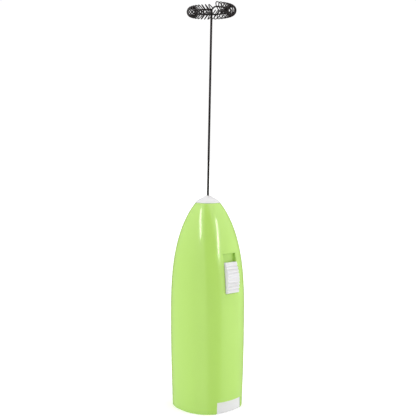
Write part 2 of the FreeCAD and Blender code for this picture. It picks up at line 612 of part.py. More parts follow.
def make_contacts():
    metal, offset = "sheet_metal", "cell_offset"
    for side, word in ((-1, "negative"), (1, "positive")):
        across = f"{side} * {offset}"
        plate = box(f"{word}_plate", (f"{across} - plate_half", f"{across} + plate_half"),
                    ("cell_back - plate_half", "cell_back + plate_half"),
                    (f"deck_bottom - {metal}", "deck_bottom"))
        front = f"{word}_tag_front"
        tag = box(f"{word}_tag", (f"{across} - tag_half_width", f"{across} + tag_half_width"),
                  (f"-{front}", f"{metal} - {front}"), (f"deck_bottom - {metal}", "tag_top"))
        finish(joined(f"{word}_contact_solid", [plate, tag]), f"{word}_contact")
    strip = box("door_strip", ("-door_strip_half_width", "door_strip_half_width"),
                ("cell_back - door_strip_half_depth", "cell_back + door_strip_half_depth"),
                ("door_top", f"door_top + {metal}"))
    finish(strip, "door_contact")
    wire, radius, pitch = size("spring_wire"), size("spring_radius"), size("spring_pitch")
    cell_top = size("cell_low_left") + size("cell_length")
    contact_face = size("deck_bottom") - size("sheet_metal")
    door_face = size("door_top") + size("sheet_metal")
    make_spring("upper_cell_spring", radius, wire, contact_face - cell_top, pitch,
                -size("cell_offset"), cell_top)
    make_spring("lower_cell_spring", radius, wire,
                size("cell_low_right") - door_face - size("spring_clearance"), pitch,
                size("cell_offset"), door_face)
    for word, label in (("leaf", "switch_leaf"), ("strip", "switch_fixed_contact")):
        depth = (f"-{word}_front", f"{metal} - {word}_front")
        blade = box(word, ("-leaf_half_width", "leaf_half_width"), depth,
                    ("leaf_low", f"{word}_top"))
        solder = box(f"{word}_tab", ("0", "solder_reach"), depth, ("solder_low", "solder_top"))
        finish(joined(f"{word}_solid", [blade, solder]), label)


# ---------------------------------------------------------------- motor

def make_motor():
    can = without("can_hollow", motor_section("can_outer", "0", "can_low", "can_top"),
                  motor_section("can_inner", "can_wall", "can_low - 1", "can_top - can_wall"))
    nose = post("can_nose", "boss_radius", "can_top - 2 * can_wall", "boss_top")
    seat = post("can_seat", "bearing_radius", "can_top - 3", "boss_top - 0.3")
    mouth = post("can_mouth", "shaft_radius + 0.3", "can_top - 3", "boss_top + 1")
    finish(without("can_bored", joined("can_with_nose", [can, nose]),
                   joined("can_bores", [seat, mouth])), "motor_can")
    cap = without("endcap_hollow", motor_section("endcap_outer", "0", "endcap_low", "can_low"),
                  motor_section("endcap_inner", "2 * can_wall", "endcap_low + 2 * can_wall",
                                "can_low + 1"))
    pillar = post("endcap_pillar", "bearing_radius + 0.6", "endcap_low", "endcap_low + 2.6")
    slots = [box(f"terminal_slot_{word}", (f"{side} * brush_reach - 0.15",
                                           f"{side} * brush_reach + 0.15"),
                 ("-brush_half_width", "brush_half_width"), ("endcap_low - 1", "can_low"))
             for side, word in ((-1, "left"), (1, "right"))]
    hole = post("endcap_hole", "bearing_radius", "endcap_low + 0.4", "endcap_low + 4")
    finish(without("endcap_cut", joined("endcap_solid", [cap, pillar]),
                   joined("endcap_voids", [hole] + slots)), "motor_end_cap")
    finish(tube("upper_bearing", "bearing_radius", "shaft_radius + running_gap / 2",
                "can_top - 1.4", "boss_top - 0.3"), "upper_bearing")
    finish(tube("lower_bearing", "bearing_radius", "shaft_radius + running_gap / 2",
                "endcap_low + 0.4", "endcap_low + 2.6"), "lower_bearing")
    arcs = [shared(f"magnet_{word}",
                   tube(f"magnet_ring_{word}", "magnet_outer", "magnet_inner", "magnet_low",
                        "magnet_top"),
                   box(f"magnet_side_{word}", low_high, ("-magnet_half_depth",
                                                         "magnet_half_depth"),
                       ("magnet_low - 1", "magnet_top + 1")))
            for word, low_high in (("left", ("-motor_radius", "0")), ("right", ("0",
                                                                               "motor_radius")))]
    finish(group("magnet_pair", arcs), "motor_magnets")
    brushes = []
    for side, word in ((-1, "left"), (1, "right")):
        inner, outer = (f"{side} * (commutator_radius + 0.2)", f"{side} * brush_reach")
        low, high = (outer, inner) if side < 0 else (inner, outer)
        arm = box(f"brush_arm_{word}", (low, high), ("-brush_half_width", "brush_half_width"),
                  ("brush_level", f"brush_level + sheet_metal"))
        terminal = box(f"brush_terminal_{word}",
                       (f"{side} * brush_reach - 0.15", f"{side} * brush_reach + 0.15"),
                       ("-brush_half_width", "brush_half_width"),
                       ("terminal_low", "brush_level + sheet_metal"))
        shoe = box(f"brush_shoe_{word}",
                   (f"{side} * (commutator_radius + 0.35) - 0.15",
                    f"{side} * (commutator_radius + 0.35) + 0.15"),
                   ("-brush_half_width", "brush_half_width"),
                   ("brush_level", "commutator_top - 0.4"))
        brushes.append(joined(f"brush_{word}", [arm, terminal, shoe]))
    finish(group("brush_pair", brushes), "motor_brushes")


def make_armature():
    finish(post("shaft", "shaft_radius", "shaft_low", "shaft_top"), "motor_shaft")
    hub = post("core_hub", "hub_radius", "core_low", "core_top")
    rim = tube("core_rim", "core_radius", "shoe_inner", "core_low", "core_top")
    necks, gaps, coils = [], [], []
    for pole in range(3):
        neck = box(f"core_neck_{pole}", ("0", "shoe_inner + 0.3"),
                   ("-neck_half_width", "neck_half_width"), ("core_low", "core_top"))
        gap = box(f"core_gap_{pole}", ("-core_radius - 1", "0"), ("-shoe_slot", "shoe_slot"),
                  ("core_low - 1", "core_top + 1"))
        around = box(f"coil_block_{pole}", ("winding_inner", "winding_outer"),
                     ("-winding_half_width", "winding_half_width"),
                     ("core_low - winding_overhang", "core_top + winding_overhang"))
        necks.append(turned(neck, 120 * pole))
        gaps.append(turned(gap, 120 * pole))
        coils.append(turned(around, 120 * pole))
    gap_voids = joined("core_gaps", gaps)
    core_rim = without("core_shoes", rim, gap_voids)
    stack = joined("core_stack", [hub, core_rim] + necks)
    bore = post("core_bore", "shaft_radius", "core_low - 1", "core_top + 1")
    core = finish(without("core_bored", stack, bore), "armature_core")
    windings = [without(f"winding_{pole}", coil, core) for pole, coil in enumerate(coils)]
    finish(group("winding_set", windings), "armature_windings")
    drum = tube("commutator_drum", "commutator_radius", "shaft_radius", "commutator_low",
                "commutator_top")
    cuts = []
    for segment in range(3):
        cut = box(f"segment_gap_{segment}", ("shaft_radius + 0.4", "commutator_radius + 1"),
                  ("-0.15", "0.15"), ("commutator_low - 1", "commutator_top + 1"))
        cuts.append(turned(cut, 60 + 120 * segment))
    finish(without("commutator_cut", drum, joined("segment_gaps", cuts)), "commutator")


def swept_wire(label, corners, radius, bends):
    """Round wire: straight runs through the corners, joined by a tangent arc at each bend."""
    edges, here = [], corners[0]
    for before, corner, after, bend in zip(corners, corners[1:], corners[2:], bends):
        inward = (before - corner).normalize()
        onward = (after - corner).normalize()
        setback = bend / math.tan(inward.getAngle(onward) / 2)
        start, stop = corner + inward * setback, corner + onward * setback
        halfway = (inward + onward).normalize()
        crown = corner + halfway * (math.hypot(bend, setback) - bend)
        edges += [Part.LineSegment(here, start).toShape(), Part.Arc(start, crown, stop).toShape()]
        here = stop
    edges.append(Part.LineSegment(here, corners[-1]).toShape())
    heading = corners[1] - corners[0]
    section = Part.Wire(Part.makeCircle(radius, corners[0], heading))
    item = doc.addObject("Part::Feature", label)
    item.Shape = Part.Wire(edges).makePipeShell([section], True, True)
    return item


def make_lead(label, corners):
    bends = [size("lead_bend")] * (len(corners) - 2)
    finish(swept_wire(label, corners, size("lead_radius"), bends), label)


def make_leads():
    outer, inner = size("outer_lead_across"), size("inner_lead_across")
    low, high = size("low_lead_level"), size("high_lead_level")
    solder = (size("solder_low") + size("solder_top")) / 2
    half_metal = size("sheet_metal") / 2
    leaf_plane = half_metal - size("leaf_front")
    strip_plane = -size("inner_lead_front")
    make_lead("positive_lead", [Vector(outer, -size("positive_tag_front"), low),
                                Vector(outer, leaf_plane, low), Vector(outer, leaf_plane, solder),
                                Vector(size("solder_reach"), leaf_plane, solder)])
    make_lead("motor_lead", [Vector(inner, -size("brush_half_width"), high),
                             Vector(inner, strip_plane, high), Vector(inner, strip_plane, solder),
                             Vector(size("solder_reach"), strip_plane, solder)])


# ---------------------------------------------------------------- whisk

def make_whisk():
    sleeve = post("coupler_sleeve", "coupler_radius", "coupler_low", "coupler_top")
    lower = post("coupler_lower_bore", "shaft_radius", "coupler_low - 1", "shaft_top")
    upper = post("coupler_upper_bore", "rod_radius", "shaft_top - 1", "coupler_top + 1")
    finish(without("coupler_bored", sleeve, joined("coupler_bores", [lower, upper])),
           "shaft_coupler")

    azimuth = size("spoke_azimuth")
    outward = Rotation(Vector(0, 0, 1), azimuth).multVec(Vector(size("ring_radius"), 0, 0))
    lean = Rotation(Vector(0, 0, 1), size("lean_azimuth")).multVec(Vector(size("ring_offset"), 0, 0))
    centre = lean + Vector(0, 0, size("ring_level"))
    corners = [Vector(0, 0, size("shaft_top") + 1), Vector(0, 0, size("lean_level")), centre,
               centre + outward]
    stem = swept_wire("rod_stem", corners, size("rod_radius"),
                      [size("lean_bend"), size("rod_bend")])
    loop = bind(doc.addObject("Part::Torus", "rod_loop"), Radius1="ring_radius",
                Radius2="rod_radius", Angle3="360 - ring_gap_angle")
    loop.Placement = Placement(centre, Rotation(Vector(0, 0, 1), azimuth))
    finish(joined("rod_bent", [stem, loop]), "whisk_rod")

    count = int(size("turn_count"))
    gap = size("ring_gap_angle")
    turns = []
    for index in range(count):
        share = (index + 0.5) / count
        turn = bind(doc.addObject("Part::Torus", f"turn_{index}"), Radius1="turn_radius",
                    Radius2="turn_wire")
        about = Rotation(Vector(0, 0, 1), azimuth + gap / 2 + (360 - gap) * share)
        middle = centre + about.multVec(Vector(size("ring_radius"), 0, 0))
        turn.Placement = Placement(middle, about * Rotation(Vector(1, 0, 0), 90))
        turns.append(turn)
    finish(group("turns", turns), "whisk_coil")


# ---------------------------------------------------------------- build and write

make_body_shell()
make_nose_parts()
make_door()
make_switch()
make_cell("battery_cell_left", -1, "cell_low_left", nub_up=False)
make_cell("battery_cell_right", 1, "cell_low_right", nub_up=True)
make_frame()
make_retainer()
make_contacts()
make_motor()
make_leads()
make_armature()
make_whisk()
doc.recompute()

faults = [item.Name for item in doc.Objects if {"Invalid", "Error"} & set(item.State)]
faults += [item.Label for item in FINISHED if item.Shape.isNull() or not item.Shape.isValid()]
if faults:
    raise RuntimeError("failed objects: " + ", ".join(faults))

os.makedirs("parts", exist_ok=True)
for item in FINISHED:
    item.Shape.exportStep(f"parts/{item.Label}.step")
    bounds = item.Shape.optimalBoundingBox()
    print(f"{item.Label:22s} solids {len(item.Shape.Solids):2d} volume {item.Shape.Volume:9.1f}"
          f"  x {bounds.XMin:7.2f} {bounds.XMax:7.2f}  y {bounds.YMin:7.2f} {bounds.YMax:7.2f}"
          f"  z {bounds.ZMin:7.2f} {bounds.ZMax:7.2f}")
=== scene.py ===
import json
import math

import bmesh
import bpy
import numpy as np
from mathutils import Matrix, Vector


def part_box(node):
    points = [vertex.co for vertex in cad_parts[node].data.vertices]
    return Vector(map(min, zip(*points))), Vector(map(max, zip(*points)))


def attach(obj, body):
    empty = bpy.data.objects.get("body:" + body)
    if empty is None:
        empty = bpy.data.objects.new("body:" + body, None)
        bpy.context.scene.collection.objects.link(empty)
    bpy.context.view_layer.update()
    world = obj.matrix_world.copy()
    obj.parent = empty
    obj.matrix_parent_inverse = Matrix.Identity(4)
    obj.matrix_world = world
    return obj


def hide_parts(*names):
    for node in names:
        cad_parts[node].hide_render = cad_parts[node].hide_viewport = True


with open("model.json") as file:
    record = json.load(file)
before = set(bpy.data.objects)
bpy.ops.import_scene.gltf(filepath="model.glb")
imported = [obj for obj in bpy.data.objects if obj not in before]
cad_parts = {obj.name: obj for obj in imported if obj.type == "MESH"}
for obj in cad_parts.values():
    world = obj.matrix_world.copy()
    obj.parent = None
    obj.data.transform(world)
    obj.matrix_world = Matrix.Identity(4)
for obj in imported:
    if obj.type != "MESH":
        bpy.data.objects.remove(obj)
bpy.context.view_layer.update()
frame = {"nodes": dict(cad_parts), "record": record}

# Battery milk frother. Metres; +Z runs up the rod, the switch face looks along -Y, and the rounded
# corner between the switch face and the left face looks at the camera.
MM = 0.001

# handle: superellipse section scaled by one height formula
SHELL_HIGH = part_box("body_shell")[1]
HALF_WIDTH = SHELL_HIGH.x
HALF_DEPTH = SHELL_HIGH.y
SHELL_TOP = SHELL_HIGH.z
SECTION_POWER = 2.31
WIDEST_LEVEL = 48.9 * MM
OGIVE_TIP = 115.86 * MM
OGIVE_POWER = 2.81
OGIVE_ROOT = 0.691
BASE_TAPER = 0.0000219 / MM ** 2
WALL = 1.8 * MM
LEDGE = 3.0 * MM
CAVITY_TOP = 107.0 * MM
NOSE_BORE = 4.0 * MM
BASE_ROUND = 0.45 * MM
BASE_ROUND_ROWS = 4
SEAM_ROUND = 0.22 * MM
SEAM_ROUND_ROWS = 3
BORE_SIDES = 48
CAVITY_SIDES = 160
CAVITY_ROWS = 40
OVERSHOOT = 1.0 * MM

# switch face: a plane tilted with the front of the handle
TILT = math.radians(5.9)
FACE_POINT = Vector((0, -17.8 * MM, 74.4 * MM))
FACE_UP = Vector((0, math.sin(TILT), math.cos(TILT)))
FACE_OUT = Vector((0, -math.cos(TILT), math.sin(TILT)))
RECESS_HALF_WIDTH = 4.4 * MM
RECESS_LOW = -10.55 * MM
RECESS_HIGH = 10.4 * MM
RECESS_DEPTH = 1.6 * MM
RECESS_ROUND = 0.35 * MM
FLOOR_DEPTH = 3.0 * MM
BOSS_HALF_WIDTH = 6.6 * MM
BOSS_REACH = 12.2 * MM
BOSS_OUT = 2.0 * MM
SLOT_HALF_WIDTH = 2.1 * MM
SLOT_LOW = -6.0 * MM
SLOT_HIGH = 4.9 * MM

# base: the opening for the battery door, the room for its hinge barrel and the notch for its tab
DOOR_GAP = 0.25 * MM
DOOR_FRONT = 16.2 * MM
DOOR_REAR = 11.45 * MM
DOOR_CORNER = 13.2 * MM
BARREL_HALF_WIDTH = 4.8 * MM
BARREL_REACH = 16.5 * MM
BARREL_UNDER = -1.1 * MM
NOTCH_HALF_WIDTH = 8.62 * MM
NOTCH_REAR = -9.6 * MM
NOTCH_UNDER = -1.2 * MM
NOTCH_TOP = 6.32 * MM


def section_scale(level):
    """How large the handle's section is at a height, as a share of its widest."""
    if level <= WIDEST_LEVEL:
        return 1 - BASE_TAPER * (WIDEST_LEVEL - level) ** 2
    share = (level - WIDEST_LEVEL) / (OGIVE_TIP - WIDEST_LEVEL)
    return (1 - share ** OGIVE_POWER) ** OGIVE_ROOT


def signed_power(value, power):
    return math.copysign(abs(value) ** power, value)


def superellipse(half_width, half_depth, turn, power=SECTION_POWER):
    """A point of the rounded-square section; turn runs round it from +X."""
    return (half_width * signed_power(math.cos(turn), 2 / power),
            half_depth * signed_power(math.sin(turn), 2 / power))


def circle(radius, level, sides):
    return [Vector((radius * math.cos(turn), radius * math.sin(turn), level))
            for turn in np.linspace(0, 2 * math.pi, sides, endpoint=False)]


def quarter_turn(steps):
    """Angles from nought to a right angle, both included."""
    return [k / steps * math.pi / 2 for k in range(steps + 1)]


def on_face(across, along, height):
    """A point of the switch's own frame: across, up the face, and out of it."""
    return FACE_POINT + Vector((across, 0, 0)) + FACE_UP * along + FACE_OUT * height


def add_object(name, data):
    item = bpy.data.objects.new(name, data)
    bpy.context.scene.collection.objects.link(item)
    return item


# ---------------------------------------------------------------- materials

CLOUD_SCALE = 55.0
GLOSS_SCALE = 160.0
FINE_BUMP = 0.004 * MM
CELL_BAND = 14.0 * MM


def start_material(name):
    """A material with a principled shader; returns it, its tree, the shader and object coordinates."""
    material = bpy.data.materials.new(name)
    material.use_nodes = True
    tree = material.node_tree
    shader = tree.nodes["Principled BSDF"]
    place = tree.nodes.new("ShaderNodeTexCoord")
    return material, tree, shader, place.outputs["Object"]


def noise(tree, place, scale, detail=3.0, stretch=(1, 1, 1)):
    mapping = tree.nodes.new("ShaderNodeMapping")
    mapping.inputs["Scale"].default_value = stretch
    tree.links.new(place, mapping.inputs["Vector"])
    texture = tree.nodes.new("ShaderNodeTexNoise")
    texture.inputs["Scale"].default_value = scale
    texture.inputs["Detail"].default_value = detail
    tree.links.new(mapping.outputs["Vector"], texture.inputs["Vector"])
    return texture.outputs["Fac"]


def spread(tree, value, low, high):
    """Map a noise value to a range."""
    node = tree.nodes.new("ShaderNodeMapRange")
    node.inputs["From Min"].default_value = 0.3
    node.inputs["From Max"].default_value = 0.7
    node.inputs["To Min"].default_value = low
    node.inputs["To Max"].default_value = high
    tree.links.new(value, node.inputs["Value"])
    return node.outputs["Result"]


def mix_colours(tree, factor, first, second):
    node = tree.nodes.new("ShaderNodeMix")
    node.data_type = "RGBA"
    node.inputs["A"].default_value = (*first, 1)
    node.inputs["B"].default_value = (*second, 1)
    tree.links.new(factor, node.inputs["Factor"])
    return node.outputs["Result"]


def add_bump(tree, shader, height, strength, distance):
    node = tree.nodes.new("ShaderNodeBump")
    node.inputs["Strength"].default_value = strength
    node.inputs["Distance"].default_value = distance
    tree.links.new(height, node.inputs["Height"])
    tree.links.new(node.outputs["Normal"], shader.inputs["Normal"])


def shade_of(colour, factor):
    return tuple(min(1.0, part * factor) for part in colour)


def plastic(name, colour, roughness, mottle=0.012, grain_depth=FINE_BUMP, subsurface=0.0):
    """Moulded plastic: faint cloudy colour, a fine spark-eroded grain and uneven gloss."""
    material, tree, shader, place = start_material(name)
    clouds = noise(tree, place, CLOUD_SCALE)
    colour_out = mix_colours(tree, clouds, shade_of(colour, 1 - mottle), shade_of(colour, 1 + mottle))
    tree.links.new(colour_out, shader.inputs["Base Color"])
    gloss = spread(tree, noise(tree, place, GLOSS_SCALE, detail=5.0), roughness - 0.015, roughness + 0.02)
    tree.links.new(gloss, shader.inputs["Roughness"])
    add_bump(tree, shader, noise(tree, place, 2600.0, detail=2.0), strength=0.35, distance=grain_depth)
    if subsurface:
        shader.inputs["Subsurface Weight"].default_value = subsurface
        shader.inputs["Subsurface Scale"].default_value = MM
        shader.inputs["Subsurface Radius"].default_value = (1.0, 1.0, 0.5)
    return material


def metal(name, colour, roughness, stretch=(1, 1, 1), scale=900.0, tint=0.12):
    """Metal with drawn or rolled streaks that vary its tint and gloss."""
    material, tree, shader, place = start_material(name)
    shader.inputs["Metallic"].default_value = 1.0
    streaks = noise(tree, place, scale, detail=4.0, stretch=stretch)
    colour_out = mix_colours(tree, streaks, shade_of(colour, 1 - tint), shade_of(colour, 1 + tint))
    tree.links.new(colour_out, shader.inputs["Base Color"])
    gloss = spread(tree, streaks, roughness * 0.7, roughness * 1.3)
    tree.links.new(gloss, shader.inputs["Roughness"])
    add_bump(tree, shader, streaks, strength=0.25, distance=FINE_BUMP)
    return material


def cell_jacket(name):
    """A battery's printed film: dark, with a plain copper-coloured band near one end."""
    material, tree, shader, place = start_material(name)
    split = tree.nodes.new("ShaderNodeSeparateXYZ")
    tree.links.new(place, split.inputs["Vector"])
    band = tree.nodes.new("ShaderNodeMath")
    band.operation = "GREATER_THAN"
    band.inputs[1].default_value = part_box("battery_cell_right")[1].z - CELL_BAND
    tree.links.new(split.outputs["Z"], band.inputs[0])
    colour_out = mix_colours(tree, band.outputs["Value"], (0.03, 0.032, 0.04), (0.50, 0.27, 0.10))
    tree.links.new(colour_out, shader.inputs["Base Color"])
    gloss = spread(tree, noise(tree, place, 300.0), 0.22, 0.34)
    tree.links.new(gloss, shader.inputs["Roughness"])
    add_bump(tree, shader, noise(tree, place, 700.0), strength=0.2, distance=0.01 * MM)
    return material


def windings(name):
    """Enamelled wire laid in close turns."""
    material, tree, shader, place = start_material(name)
    wave = tree.nodes.new("ShaderNodeTexWave")
    wave.bands_direction = "Z"
    wave.inputs["Scale"].default_value = 500.0
    wave.inputs["Distortion"].default_value = 0.6
    tree.links.new(place, wave.inputs["Vector"])
    colour_out = mix_colours(tree, wave.outputs["Fac"], (0.30, 0.10, 0.03), (0.62, 0.27, 0.11))
    tree.links.new(colour_out, shader.inputs["Base Color"])
    shader.inputs["Metallic"].default_value = 0.6
    shader.inputs["Roughness"].default_value = 0.35
    add_bump(tree, shader, wave.outputs["Fac"], strength=0.7, distance=0.06 * MM)
    return material


GREEN = (0.43, 0.68, 0.138)
WHITE = (0.715, 0.71, 0.72)
MATERIALS = {
    "shell_plastic": plastic("shell_plastic", GREEN, 0.18, subsurface=0.06),
    "white_plastic": plastic("white_plastic", WHITE, 0.32, mottle=0.015, subsurface=0.05),
    "natural_plastic": plastic("natural_plastic", (0.74, 0.73, 0.67), 0.5, grain_depth=0.02 * MM),
    "black_plastic": plastic("black_plastic", (0.03, 0.03, 0.03), 0.5, grain_depth=0.02 * MM),
    "seal_rubber": plastic("seal_rubber", (0.03, 0.03, 0.03), 0.7, grain_depth=0.03 * MM),
    "lead_sleeve": plastic("lead_sleeve", (0.45, 0.03, 0.02), 0.45),
    "cell_jacket": cell_jacket("cell_jacket"),
    "whisk_wire": metal("whisk_wire", (0.032, 0.028, 0.028), 0.3, (1, 1, 0.05), scale=2500.0, tint=0.2),
    "steel": metal("steel", (0.52, 0.52, 0.53), 0.3, (1, 1, 0.2)),
    "plated_steel": metal("plated_steel", (0.68, 0.68, 0.70), 0.22, (0.2, 1, 1)),
    "contact_brass": metal("contact_brass", (0.70, 0.53, 0.24), 0.3, (1, 1, 0.2)),
    "bearing_bronze": metal("bearing_bronze", (0.50, 0.32, 0.15), 0.55, tint=0.25),
    "magnet_ferrite": plastic("magnet_ferrite", (0.05, 0.05, 0.055), 0.6, grain_depth=0.03 * MM),
    "winding_copper": windings("winding_copper"),
}


# ---------------------------------------------------------------- mesh helpers

SHARP_ANGLE = math.radians(38)
MERGE_DISTANCE = 1e-7
# a wire's domed end, as (push beyond the end, width), both as shares of its radius
WIRE_DOME = [(0.6, 0.35), (0.4, 0.75)]


def smooth_by_angle(mesh):
    """Smooth shading, with edges sharper than the limit left crisp."""
    work = bmesh.new()
    work.from_mesh(mesh)
    for face in work.faces:
        face.smooth = True
    for edge in work.edges:
        edge.smooth = len(edge.link_faces) == 2 and edge.calc_face_angle(0.0) < SHARP_ANGLE
    work.to_mesh(mesh)
    work.free()


def mesh_object(name, points, faces, smooth=True):
    """An object from points and faces, with its normals turned outwards."""
    mesh = bpy.data.meshes.new(name)
    mesh.from_pydata([tuple(point) for point in points], [], faces)
    work = bmesh.new()
    work.from_mesh(mesh)
    bmesh.ops.remove_doubles(work, verts=work.verts, dist=MERGE_DISTANCE)
    bmesh.ops.recalc_face_normals(work, faces=work.faces)
    work.to_mesh(mesh)
    work.free()
    if smooth:
        smooth_by_angle(mesh)
    return add_object(name, mesh)


def rings_to_faces(count, rows):
    """Quads between successive rings of equal count."""
    faces = []
    for row in range(rows - 1):
        for column in range(count):
            after = (column + 1) % count
            faces.append((row * count + column, row * count + after,
                          (row + 1) * count + after, (row + 1) * count + column))
    return faces


def ring_solid(name, rings, smooth=True):
    """A solid through rings of points, closed by a face on each end."""
    count, rows = len(rings[0]), len(rings)
    ends = [tuple(reversed(range(count))), tuple(range((rows - 1) * count, rows * count))]
    points = [point for ring in rings for point in ring]
    return mesh_object(name, points, rings_to_faces(count, rows) + ends, smooth)


def box_solid(name, low, high, place=None):
    """A box between two corners; place carries a point into another frame, as on_face does."""
    (x0, y0, z0), (x1, y1, z1) = low, high
    rings = [[(x0, y0, z), (x1, y0, z), (x1, y1, z), (x0, y1, z)] for z in (z0, z1)]
    if place:
        rings = [[place(*point) for point in ring] for ring in rings]
    return ring_solid(name, rings, smooth=False)


def cut_by(item, cutters):
    """Take the cutters away from the item, for good."""
    for cutter in cutters:
        modifier = item.modifiers.new("cut", "BOOLEAN")
        modifier.operation = "DIFFERENCE"
        modifier.solver = "EXACT"
        modifier.object = cutter
        graph = bpy.context.evaluated_depsgraph_get()
        mesh = bpy.data.meshes.new_from_object(item.evaluated_get(graph))
        item.modifiers.clear()
        item.data = mesh
        mesh.name = item.name
        bpy.data.objects.remove(cutter)
    smooth_by_angle(item.data)


def sweep(name, path, radius, sides):
    """A round wire along a path of points, with slightly domed ends."""
    rings = []
    side = None
    for index, point in enumerate(path):
        before, after = path[max(index - 1, 0)], path[min(index + 1, len(path) - 1)]
        along = (after - before).normalized()
        if side is None:
            side = along.orthogonal().normalized()
        side = (side - along * side.dot(along)).normalized()
        other = along.cross(side)
        reaches = [(0.0, 1.0)]
        if index == 0:
            reaches = [(-push, share) for push, share in WIRE_DOME] + reaches
        elif index == len(path) - 1:
            reaches += reversed(WIRE_DOME)
        for push, share in reaches:
            middle = point + along * radius * push
            rings.append([middle + (side * math.cos(2 * math.pi * k / sides)
                                    + other * math.sin(2 * math.pi * k / sides)) * radius * share
                          for k in range(sides)])
    return ring_solid(name, rings)


def dress(item, body, slot, *nodes):
    """Give a piece its material and body, and hide the CAD nodes it stands for."""
    item.data.materials.clear()
    item.data.materials.append(MATERIALS[slot])
    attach(item, body)
    if nodes:
        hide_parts(*nodes)


# ---------------------------------------------------------------- handle shell

# the shell's grid: columns at fixed places across the front, even ones round the rest
FRONT_REACH = 9.6 * MM
MIDDLE_COLUMNS = 5
MIDDLE_PITCH = 0.9 * MM
OUTER_MARKS = [5.8 * MM, 6.7 * MM, 7.7 * MM, 8.7 * MM, FRONT_REACH]
COLUMN_LEVEL = 88.0 * MM
SIDE_COLUMNS = 150
SHELL_ROWS = 90
ROW_CLEAR = 0.35 * MM
SOLVE_STEPS = 20
# the recess's edge: where the grid follows the lip's round, as shares of its radius, and how far
# inside the edge the floor begins
ROUND_STEPS = [1.0, 0.7, 0.42, 0.2, 0.06, 0.0]
WALL_STEP = 0.1 * MM


def level_on_face(along):
    """The height at which the front's middle line crosses a distance up the switch face."""
    level = FACE_POINT.z + along * math.cos(TILT)
    for _ in range(SOLVE_STEPS):
        depth = -HALF_DEPTH * section_scale(level)
        error = (depth - FACE_POINT.y) * math.sin(TILT) + (level - FACE_POINT.z) * math.cos(TILT) - along
        level -= error / math.cos(TILT)
    return level


def edge_marks(edge, outwards):
    """Grid lines that carry the rounded lip of the recess across one of its edges."""
    return [edge + outwards * RECESS_ROUND * step for step in ROUND_STEPS] + [edge - outwards * WALL_STEP]


def front_columns():
    """Distances across the switch face at which the grid has a column."""
    marks = [index * MIDDLE_PITCH for index in range(MIDDLE_COLUMNS)]
    marks = sorted(marks + edge_marks(RECESS_HALF_WIDTH, 1) + OUTER_MARKS)
    return [-mark for mark in reversed(marks[1:])] + marks


def shell_levels():
    """Heights of the grid's rows, closer together around the recess's two ends."""
    reach = SHELL_TOP - SEAM_ROUND - BASE_ROUND
    levels = [BASE_ROUND + reach * k / SHELL_ROWS for k in range(SHELL_ROWS + 1)]
    special = [level_on_face(mark) for mark in edge_marks(RECESS_LOW, -1) + edge_marks(RECESS_HIGH, 1)]
    levels = [level for level in levels if min(abs(level - mark) for mark in special) > ROW_CLEAR]
    return sorted(levels + special)


def outer_ring(level, inset=0.0):
    """One row of the handle's outside: fixed columns across the front, even ones round the rest."""
    scale = section_scale(level)
    half_width = HALF_WIDTH * scale - inset
    half_depth = HALF_DEPTH * scale - inset
    squeeze = min(1.0, scale / section_scale(COLUMN_LEVEL))
    ring = []
    for across in front_columns():
        share = abs(across) * squeeze / half_width
        depth = -half_depth * (1 - share ** SECTION_POWER) ** (1 / SECTION_POWER)
        ring.append(Vector((across * squeeze, depth, level)))
    corner = math.acos((FRONT_REACH * squeeze / half_width) ** (SECTION_POWER / 2))
    start, stop = -corner, math.pi + corner
    for k in range(1, SIDE_COLUMNS):
        turn = start + (stop - start) * k / SIDE_COLUMNS
        ring.append(Vector((*superellipse(half_width, half_depth, turn), level)))
    return ring


def into_recess(point):
    """Lower a point of the front onto the recess's rounded lip or its floor."""
    if point.y > 0 or abs(point.x) > FRONT_REACH:
        return point
    offset = point - FACE_POINT
    along = offset.dot(FACE_UP)
    outside = max(abs(point.x) - RECESS_HALF_WIDTH, along - RECESS_HIGH, RECESS_LOW - along)
    if outside > RECESS_ROUND:
        return point
    if outside < -WALL_STEP / 2:
        return on_face(point.x, along, -RECESS_DEPTH)
    lip = RECESS_ROUND - max(outside, 0.0)
    drop = RECESS_ROUND - math.sqrt(max(RECESS_ROUND ** 2 - lip ** 2, 0.0))
    return point - FACE_OUT * drop


def rounded_rectangle(half_width, front, back, radius, level, steps=10):
    """A closed outline with four round corners; front and back are distances along Y."""
    corners = [(half_width - radius, back - radius, 0), (radius - half_width, back - radius, 1),
               (radius - half_width, radius - front, 2), (half_width - radius, radius - front, 3)]
    ring = []
    for x, y, quarter in corners:
        for k in range(steps + 1):
            turn = (quarter + k / steps) * math.pi / 2
            ring.append(Vector((x + radius * math.cos(turn), y + radius * math.sin(turn), level)))
    return ring


def cavity_ring(level):
    """One row of the handle's inside."""
    scale = section_scale(level)
    half_width, half_depth = HALF_WIDTH * scale - WALL, HALF_DEPTH * scale - WALL
    return [Vector((*superellipse(half_width, half_depth, 2 * math.pi * k / CAVITY_SIDES), level))
            for k in range(CAVITY_SIDES)]


def make_cavity():
    """The handle's hollow, less the boss that carries the switch."""
    levels = [LEDGE + (CAVITY_TOP - LEDGE) * k / CAVITY_ROWS for k in range(CAVITY_ROWS + 1)]
    cavity = ring_solid("cavity", [cavity_ring(level) for level in levels], smooth=False)
    boss = box_solid("boss", (-BOSS_HALF_WIDTH, -BOSS_REACH, -FLOOR_DEPTH),
                     (BOSS_HALF_WIDTH, BOSS_REACH, BOSS_OUT), on_face)
    cut_by(cavity, [boss])
    return cavity


